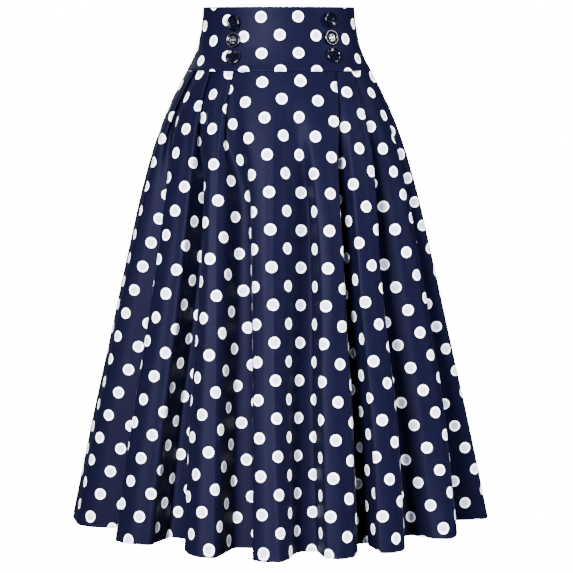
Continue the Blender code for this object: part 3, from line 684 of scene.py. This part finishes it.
# A pale floor that curves up into a round wall and a ceiling.
floor = STUDIO_RADIUS - FLOOR_CURVE
profile = [(floor, FLOOR_Z)]
profile += [(floor + FLOOR_CURVE * math.sin(a), FLOOR_Z + FLOOR_CURVE * (1 - math.cos(a)))
            for a in np.linspace(0.15, math.pi / 2, 8)]
profile += [(STUDIO_RADIUS * math.cos(a), WALL_TOP + CEILING_RISE * math.sin(a))
            for a in np.linspace(0, 1.45, 8)]
verts, faces = [], []
add_turned(verts, faces, profile[::-1], 64)
mesh = new_mesh("studio", verts, faces)
mesh.shade_smooth()
paper = plain("studio_paper", (0.86, 0.86, 0.87), 0.9, 40, 0.01)
shader = paper.node_tree.nodes["Principled BSDF"].inputs
shader["Emission Color"].default_value = (1, 1, 1, 1)
shader["Emission Strength"].default_value = 16.0
mesh.materials.append(paper)
studio = add_object("studio", mesh)
studio.visible_diffuse = studio.visible_glossy = studio.visible_shadow = False

MIDDLE = (0, 0, -0.38)
# Each softbox: place, aim, size, power and whether the cloth and buttons mirror it.
for name, location, target, size, power, glossy in (
        ("key", (-1.3, -3.4, 0.75), MIDDLE, (1.2, 1.4), 1000, True),
        ("fill_right", (3.1, -1.7, 0.1), MIDDLE, (1.0, 1.4), 360, False),
        ("fill_left", (-2.9, -1.9, 0.1), MIDDLE, (1.0, 1.4), 36, False),
        ("overhead", (0, -0.9, 2.4), (0, 0, -0.3), (1.6, 1.2), 45, True),
        ("back_left", (-0.9, 3.0, 2.2), MIDDLE, (1.2, 1.4), 620, True),
        ("back_right", (1.1, 3.5, 0.1), MIDDLE, (1.0, 1.4), 240, False),
        ("button_left", (-2.11, -1.34, 0.85), (-0.06, -0.09, -0.05), (0.5, 0.40), 14, True),
        ("button_right", (2.38, -0.90, 0.76), (0.07, -0.09, -0.04), (0.5, 0.40), 80, True)):
    data = bpy.data.lights.new(name, "AREA")
    data.shape = "RECTANGLE"
    data.size, data.size_y = size
    data.energy = power
    made = add_object(name, data)
    made.location = location
    made.rotation_euler = (Vector(target) - Vector(location)).to_track_quat("-Z", "Y").to_euler()
    made.visible_camera = False
    made.visible_glossy = glossy
world = bpy.data.worlds.new("studio_air")
world.use_nodes = True
air = world.node_tree.nodes["Background"].inputs
air[0].default_value = (0.93, 0.95, 1.0, 1)
air[1].default_value = 0.035
bpy.context.scene.world = world


# ---- The skirt's panels ----
hem = BAND_HEIGHT + SKIRT_LENGTH
below_seam = np.concatenate([
    [0.0003, 0.0012], np.linspace(0.003, SKIRT_LENGTH - 0.0030, SKIRT_ROW_COUNT - 6),
    SKIRT_LENGTH - np.array([0.0012, 0.0004, 0.0001, 0.0])])
row_heights = BAND_HEIGHT + below_seam
fine, column_places = fine_rings(row_heights)
fine = creased(fine, row_heights, column_places)
ring_columns = fine.shape[1]
column_hold = np.interp(np.arange(ring_columns), column_places,
                        np.array(HOLD * len(FOLDS) + HOLD[:1]))


def skirt_panel(node, first, last, grain, dot, flat, area):
    """One flared panel from seam to seam; grain says whether the cloth's straight grain runs
    down the middle of the panel or down its first or last column."""
    columns = np.arange(first, last + 1) % ring_columns
    grid = np.concatenate([fine[:, columns], np.broadcast_to(
        -row_heights[:, None, None], (len(row_heights), len(columns), 1))], axis=-1)
    grid = drawn_in(grid)
    if grain == "middle":
        grain_columns = [int(np.argmin(np.abs(row[:, 0]) + (row[:, 1] > 0))) for row in
                         (grid[0], grid[-1])]
    else:
        grain_columns = [0 if grain == "first" else grid.shape[1] - 1] * 2
    laid = flat_cut(grid, column_hold[columns], grain_columns)
    grid, laid = with_edge_columns(grid, laid)
    uv = print_place(laid[..., 0], laid[..., 1], dot, SKIRT_PRINT_TILT)
    normals = surface_normals(grid)
    from_hem = (hem - row_heights)[:, None]
    rounded = edge_rounding(from_hem, EDGE_ROUND)
    half = CLOTH_THICKNESS / 2
    roll = seam_roll(grid)
    turned = HEM_EXTRA * (1 - ease((from_hem - HEM_DEPTH) / 0.002))
    made = shell(node + "_cloth", grid, normals, half * rounded - roll,
                 half * rounded + roll + turned * rounded, uv, (face_cloth, reverse_cloth))
    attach(made, "skirt")
    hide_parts(node)
    return grid, normals


left_seam, right_seam, back_seam = (
    int(column_places[FOLD_NUMBER[name] * COLUMNS_PER_FOLD + SEAM_COLUMN])
    for name in ("left_side", "right_side", "back_3"))
panels = {node: skirt_panel(node, *rest) for node, *rest in (
    ("skirt_front", left_seam, right_seam, "middle", FRONT_DOT, (1.294, 0.767), 0.653),
    ("skirt_back_right", right_seam, back_seam, "last", BACK_DOT, (0.613, 0.743), 0.306),
    ("skirt_back_left", back_seam, left_seam + ring_columns, "first", BACK_DOT,
     (0.605, 0.731), 0.304))}


# ---- The waistband ----
# Soft level troughs in the band: bearings of the ends, distance below the waist, and width
# and depth in millimetres.
BAND_PUCKERS = (
    (-62, -34, 0.0640, 5, 0.7), (-28, -6, 0.0560, 6, 0.35), (14, 46, 0.0650, 4, 0.7),
    (-50, 40, 0.0800, 4, 0.5), (24, 70, 0.0330, 5, 0.4), (-75, -40, 0.0340, 6, 0.5),
    (100, 150, 0.0600, 6, 0.6), (185, 235, 0.0640, 6, 0.6), (130, 175, 0.0360, 6, 0.5),
    (215, 262, 0.0340, 6, 0.5),
)


def band_panel(node, first, last, flat, area):
    """One piece of the waistband, between two bearings."""
    bearings = np.linspace(first, last, round((last - first) / BAND_COLUMN_ANGLE) + 1)
    edge = np.array([0.0001, 0.0004, 0.0009, 0.0016])
    heights = np.concatenate([
        [0.0], edge, np.linspace(0.003, BAND_HEIGHT - 0.003, BAND_ROW_COUNT - 10),
        BAND_HEIGHT - edge[::-1], [BAND_HEIGHT - 0.00005]])
    grid = np.array([[(*outline_point(b, 0, h), -h) for b in bearings] for h in heights])
    [wide] = with_edge_columns(drawn_in(grid))
    [wide_bearings] = with_edge_columns(bearings[None, :, None])
    normals = surface_normals(wide)
    pressed = np.zeros(wide.shape[:2])
    down = heights[:, None]
    for start, end, below_waist, width, depth in BAND_PUCKERS:
        along = (wide_bearings[..., 0] - start) / (end - start)
        pressed += (depth * MM * np.sin(math.pi * np.clip(along, 0, 1)) ** 2
                    * np.exp(-((down - below_waist) / (width * MM)) ** 2))
    keep = ease((down - 0.004) / 0.012) * ease((BAND_HEIGHT - down) / 0.004)
    wide = wide - normals * (pressed * keep)[..., None]
    normals = surface_normals(wide)
    arc = arc_of(wide)
    if first == -90:
        centre = np.array([np.interp(0.0, row[:, 0], a) for row, a in zip(wide, arc)])
        across = arc - centre[:, None]
        dot = BAND_DOT
    else:
        across = arc - (arc[:, -1:] if first == 90 else 0.0)
        dot = BACK_BAND_DOT
    fallen = BAND_RADIUS + arc_of(wide[:, len(heights) // 2])[:, None]
    u, d = in_sector(across, fallen)
    uv = print_place(u, d - BAND_RADIUS, dot, BAND_PRINT_TILT)
    rounded = edge_rounding(np.minimum(down, BAND_HEIGHT - down), BAND_EDGE_ROUND)
    half = BAND_THICKNESS / 2
    roll = seam_roll(wide, 0.8)
    made = shell(node + "_cloth", wide, normals, half * rounded - roll,
                 half * rounded + roll, uv, (face_cloth, reverse_cloth))
    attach(made, "skirt")
    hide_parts(node)
    return wide, normals


bands = {node: band_panel(node, *rest) for node, *rest in (
    ("waistband_front", -90, 90, (0.371, 0.111), 0.0305),
    ("waistband_back_right", 90, 180, (0.185, 0.111), 0.0152),
    ("waistband_back_left", 180, 270, (0.185, 0.111), 0.0152))}


# ---- Sewing ----
def add_tubes(name, paths, radius, finish, sides):
    """Many short tubes along paths, as one mesh; each path is a list of points."""
    verts, faces = [], []
    turns = np.linspace(0, 2 * math.pi, sides, endpoint=False)
    for path in paths:
        path = np.asarray(path, float)
        along = unit(np.gradient(path, axis=0))
        side = unit(np.cross(along, TUBE_UP))
        over = np.cross(side, along)
        sizes = np.full(len(path), radius)
        sizes[0] = sizes[-1] = radius * 0.45
        add_rings(verts, faces, [
            tuple(point + (s * math.cos(a) + o * math.sin(a)) * size)
            for point, s, o, size in zip(path, side, over, sizes) for a in turns], sides)
    mesh = new_mesh(name, verts, faces)
    mesh.materials.append(finish)
    mesh.shade_smooth()
    made = add_object(name, mesh)
    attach(made, "skirt")


def stitch_paths(piece, height, lift, stitch, gap):
    """Short runs along the row of a piece that is nearest a height, lifted off it."""
    grid, normals = piece
    row = int(np.argmin(np.abs(-grid[:, 0, 2] - height)))
    line = grid[row] + normals[row] * lift
    arc = arc_of(line)
    return [points_at(start + stitch * np.array([0, 0.2, 0.5, 0.8, 1.0]), arc, line)
            for start in np.arange(0.002, arc[-1] - 0.002 - stitch, stitch + gap)]


for name, pieces, heights, lift, stitch, gap in (
        ("hem_stitches", panels, (hem - HEM_DEPTH + 0.0015,), CLOTH_THICKNESS / 2, 2.6, 0.9),
        ("band_stitches", bands, (0.0055, BAND_HEIGHT - 0.0045), -BAND_THICKNESS / 2, 2.4, 0.8)):
    paths = [path for piece in pieces.values() for height in heights
             for path in stitch_paths(piece, height, lift, stitch * MM, gap * MM)]
    add_tubes(name, paths, STITCH_RADIUS, thread_navy, 5)


# ---- Inside of the seams ----
def inside_rows(side, end, places, top, bottom, every):
    """Points inside the cloth beside a seam, and their normals: rows down from the waist,
    each with a point at every place in the list, a distance from the seam."""
    points, normals = [], []
    for (grid, normal), half, high, low in (
            (bands["waistband_" + side], BAND_THICKNESS / 2, 0.0, BAND_HEIGHT),
            (panels["skirt_" + side], CLOTH_THICKNESS / 2, BAND_HEIGHT, hem)):
        heights = -grid[:, grid.shape[1] // 2, 2]
        rows = [k for k in range(len(heights)) if max(top, high + END_MARGIN) <= heights[k]
                <= min(bottom, low - END_MARGIN)]
        for k in rows[::every]:
            row, facing = (lines[k] if end == 0 else lines[k][::-1] for lines in (grid, normal))
            arc = arc_of(row)
            facing = points_at(places, arc, facing)
            points.append(points_at(places, arc, row) - facing * half)
            normals.append(facing)
    return np.array(points), unit(np.array(normals))


def inside_strip(name, rows, lift, thick, finish):
    """A flat strip that lies inside the cloth, lifted off it."""
    points, normals = rows
    middle = points - normals * (lift + thick / 2)
    if np.sum(surface_normals(middle) * normals) < 0:
        middle, normals = middle[:, ::-1], normals[:, ::-1]
    across = arc_of(middle)
    down = arc_of(middle[:, 0])[:, None] + np.zeros_like(across)
    half = np.full(across.shape, thick / 2)
    made = shell(name, middle, normals, half, half, print_place(across, down, (0.0, 0.0), 0.0),
                 (finish, finish))
    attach(made, "skirt")


ALLOWANCE = np.linspace(0.0002, 0.0125, 6)
ALLOWANCE_THICKNESS = 0.9 * MM
ZIP_LENGTH = 0.25  # closed length of the zip, from the waist
ZIP_SIDES = (("back_right", -1), ("back_left", 0))
for seam, sides, top in (("left_side", (("back_left", -1), ("front", 0)), 0.002),
                         ("right_side", (("front", -1), ("back_right", 0)), 0.002),
                         ("centre_back", ZIP_SIDES, ZIP_LENGTH - 0.004)):
    before, after = (inside_rows(*side, ALLOWANCE, top, hem - 0.0016, 3) for side in sides)
    joined = [np.concatenate([left[:, ::-1], right], axis=1)
              for left, right in zip(before, after)]
    inside_strip(seam + "_allowance", joined, 1.3 * MM, ALLOWANCE_THICKNESS, face_cloth)

# The turned-down edges of the waist seam, inside the band and over the pleats' tops: distances
# below the waist, and how far inside the outline they lie there.
WAIST_TURN = 0.0075
WAIST_ALLOWANCE = ((0.0760, BAND_THICKNESS / 2), (0.0845, BAND_THICKNESS / 2),
                   (0.0890, WAIST_TURN * 0.55), (0.0925, WAIST_TURN), (0.0985, WAIST_TURN))
waist_rows = np.array([[(*outline_point(b, inset, h), -h) for b in np.linspace(-180, 180, 181)]
                       for h, inset in WAIST_ALLOWANCE])
inside_strip("waist_allowance", (waist_rows, surface_normals(waist_rows)), 0.8 * MM,
             ALLOWANCE_THICKNESS, reverse_cloth)


# ---- Zip tape and coil ----
TAPE_LIFT = 0.0009
TAPE_THICKNESS = 0.0006
TAPE_REACH = 0.0150  # how far from the seam the tape goes
COIL_LIFT = 0.0007
ZIP_PITCH = 0.0016  # from one turn of the zip's coil to the next on its side
seam_line = []
for back, end in ZIP_SIDES:
    side = back.removeprefix("back_")
    for suffix, near, count, top, bottom, every in (("_top", 0.0034, 5, 0.0025, 0.0180, 1),
                                                    ("", 0.0006, 6, 0.0178, ZIP_LENGTH, 2)):
        rows = inside_rows(back, end, np.linspace(near, TAPE_REACH, count), top, bottom, every)
        inside_strip(f"zip_tape_{side}{suffix}", rows, TAPE_LIFT, TAPE_THICKNESS, zip_tape)
    seam_line.append([values[:, 0] for values in rows])
points, normals = (right + left for right, left in zip(*seam_line))
coil_line = points / 2 - unit(normals) * (TAPE_LIFT + TAPE_THICKNESS + COIL_LIFT)
coil_arc = arc_of(coil_line)
coil_turns = np.arange(0.0005, coil_arc[-1] - 0.003, ZIP_PITCH / 2)
coil_paths = []
for k, (x, y, z) in enumerate(points_at(coil_turns, coil_arc, coil_line)):
    turn = 1 if k % 2 else -1
    coil_paths.append([(x - turn * 0.0005, y - 0.0002, z), (x + turn * 0.0007, y - 0.0004, z),
                       (x + turn * 0.0021, y + 0.0002, z)])
add_tubes("zip_coil", coil_paths, 0.42 * MM, zip_nylon, 6)


# ---- Buttons ----
def band_face(bearing, below_waist):
    x, y = outline_point(bearing, -BAND_THICKNESS / 2, below_waist)
    return Vector((x, y, -below_waist))


def seat_matrix(bearing, below_waist):
    """A frame on the band's outer face, lifted until a button's back clears the cloth."""
    step = 0.5
    x_axis = (band_face(bearing + step, below_waist)
              - band_face(bearing - step, below_waist)).normalized()
    up_band = (band_face(bearing, below_waist - step * 0.01)
               - band_face(bearing, below_waist + step * 0.01))
    z_axis = x_axis.cross(up_band).normalized()
    y_axis = z_axis.cross(x_axis)
    centre = band_face(bearing, below_waist)
    seat = Matrix((x_axis, y_axis, z_axis)).transposed().to_4x4()
    seat.translation = centre
    inverse = seat.inverted()
    reach = BUTTON_DIAMETER / 2
    lift = 0.0
    for down in np.linspace(-reach, reach, 9):
        for turn in np.linspace(-8, 8, 9):
            local = inverse @ band_face(bearing + turn, max(0.0, below_waist + down))
            if math.hypot(local.x, local.y) <= reach:
                lift = max(lift, local.z)
    seat.translation = centre + z_axis * (lift + SEAM_GAP)
    return seat


# Half the turned outline in millimetres, from the middle of the back round to the face.
BUTTON_OUTLINE = ((0.02, 0.25), (4.0, 0.1), (8.4, 0.0), (9.6, 0.15), (10.5, 0.55),
                  (11.05, 1.15), (11.2, 1.75), (11.12, 2.35), (10.8, 2.9), (10.3, 3.22),
                  (9.7, 3.30), (9.15, 3.16), (8.75, 2.85), (8.4, 2.45), (7.9, 2.20),
                  (7.0, 2.02), (5.6, 1.88), (4.2, 1.80), (2.6, 1.76), (1.2, 1.75), (0.02, 1.75))
BUTTON_STEPS = 72
HOLE_STEPS = 28
COUNTERSINK = 0.42 * MM  # what it adds to a hole's radius


def evaluated(made):
    """An object's mesh, with its modifiers applied."""
    return bpy.data.meshes.new_from_object(
        made.evaluated_get(bpy.context.evaluated_depsgraph_get()))


def finished(mesh, finish, sharp):
    """A mesh with one material, and smooth up to an angle in degrees."""
    mesh.materials.clear()
    mesh.materials.append(finish)
    mesh.shade_smooth()
    mesh.set_sharp_from_angle(angle=math.radians(sharp))
    return mesh


def button_mesh():
    """A turned button with a round rim, a step inside it and four countersunk holes."""
    verts, faces, drill_verts, drill_faces = [], [], [], []
    add_turned(verts, faces, [(r * MM, z * MM) for r, z in BUTTON_OUTLINE], BUTTON_STEPS)
    hole = BUTTON_HOLE / 2
    profile = ((hole, -0.004), (hole, 1.30 * MM), (hole + COUNTERSINK, 1.86 * MM),
               (hole + COUNTERSINK, 0.006))
    for x in (-BUTTON_HOLE_OFFSET, BUTTON_HOLE_OFFSET):
        for y in (-BUTTON_HOLE_OFFSET, BUTTON_HOLE_OFFSET):
            add_turned(drill_verts, drill_faces, profile, HOLE_STEPS, x, y)
    blank = add_object("button_blank", new_mesh("button_blank", verts, faces))
    drill = add_object("button_drill", new_mesh("button_drill", drill_verts, drill_faces))
    cut = blank.modifiers.new("Holes", "BOOLEAN")
    cut.object = drill
    mesh = finished(evaluated(blank), button_gloss, 32)
    mesh.name = "button"
    for used in (blank, drill):
        bpy.data.objects.remove(used)
    return mesh


def thread_paths(place):
    """A button's threads: three strands through each pair of holes, and four behind it."""
    hole = BUTTON_HOLE_OFFSET
    wide = hole + 0.25 * MM
    paths = [[(-wide, y, 0.2 * MM), (-wide, y, 1.5 * MM), (-wide + 0.5 * MM, y, 2.2 * MM),
              (0, y, 2.45 * MM), (wide - 0.5 * MM, y, 2.2 * MM), (wide, y, 1.5 * MM),
              (wide, y, 0.2 * MM)]
             for y in [row + strand * MM for row in (-hole, hole) for strand in (-0.42, 0.0, 0.42)]]
    paths += [[(x * 0.5, y * 0.5, z) for z in (-1.6 * MM, -0.5 * MM, 0.6 * MM)]
              for x, y in ((-hole, 0.6 * MM), (hole, -0.6 * MM), (0.6 * MM, hole), (0, -hole))]
    return [[tuple(place @ Vector(point)) for point in path] for path in paths]


def turned_by(degrees, axis):
    return Matrix.Rotation(math.radians(degrees), 4, axis)


button = button_mesh()
for seat in BUTTON_SEATS:
    tilt = math.radians(math.hypot(seat.nod, seat.lean))
    rise = Matrix.Translation((0, 0, BUTTON_DIAMETER / 2 * math.sin(tilt) * 0.8))
    place = (seat_matrix(seat.bearing, seat.below_waist) @ rise
             @ (turned_by(seat.nod, "X") @ turned_by(seat.lean, "Y")) @ turned_by(seat.spin, "Z"))
    made = add_object(seat.name + "_shaped", button.copy())
    made.data.transform(place)
    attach(made, "skirt")
    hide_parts(seat.name)
    add_tubes(seat.name + "_thread", thread_paths(place), 0.24 * MM, thread_navy, 7)


# ---- Zip slider and pull tab ----
def refined_copy(node, body):
    """The node's own shape with softened edges."""
    source = bpy.data.objects[node]
    made = add_object(node + "_shaped", source.data.copy())
    made.matrix_world = source.matrix_world
    soften = made.modifiers.new("Soften", "BEVEL")
    soften.width = 0.22 * MM
    soften.segments = 3
    soften.limit_method = "ANGLE"
    soften.angle_limit = math.radians(35)
    mesh = evaluated(made)
    made.modifiers.clear()
    made.data = finished(mesh, zip_metal, 40)
    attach(made, body)
    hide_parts(node)


refined_copy("zip_slider", "skirt")
refined_copy("zip_pull", "zip_pull")
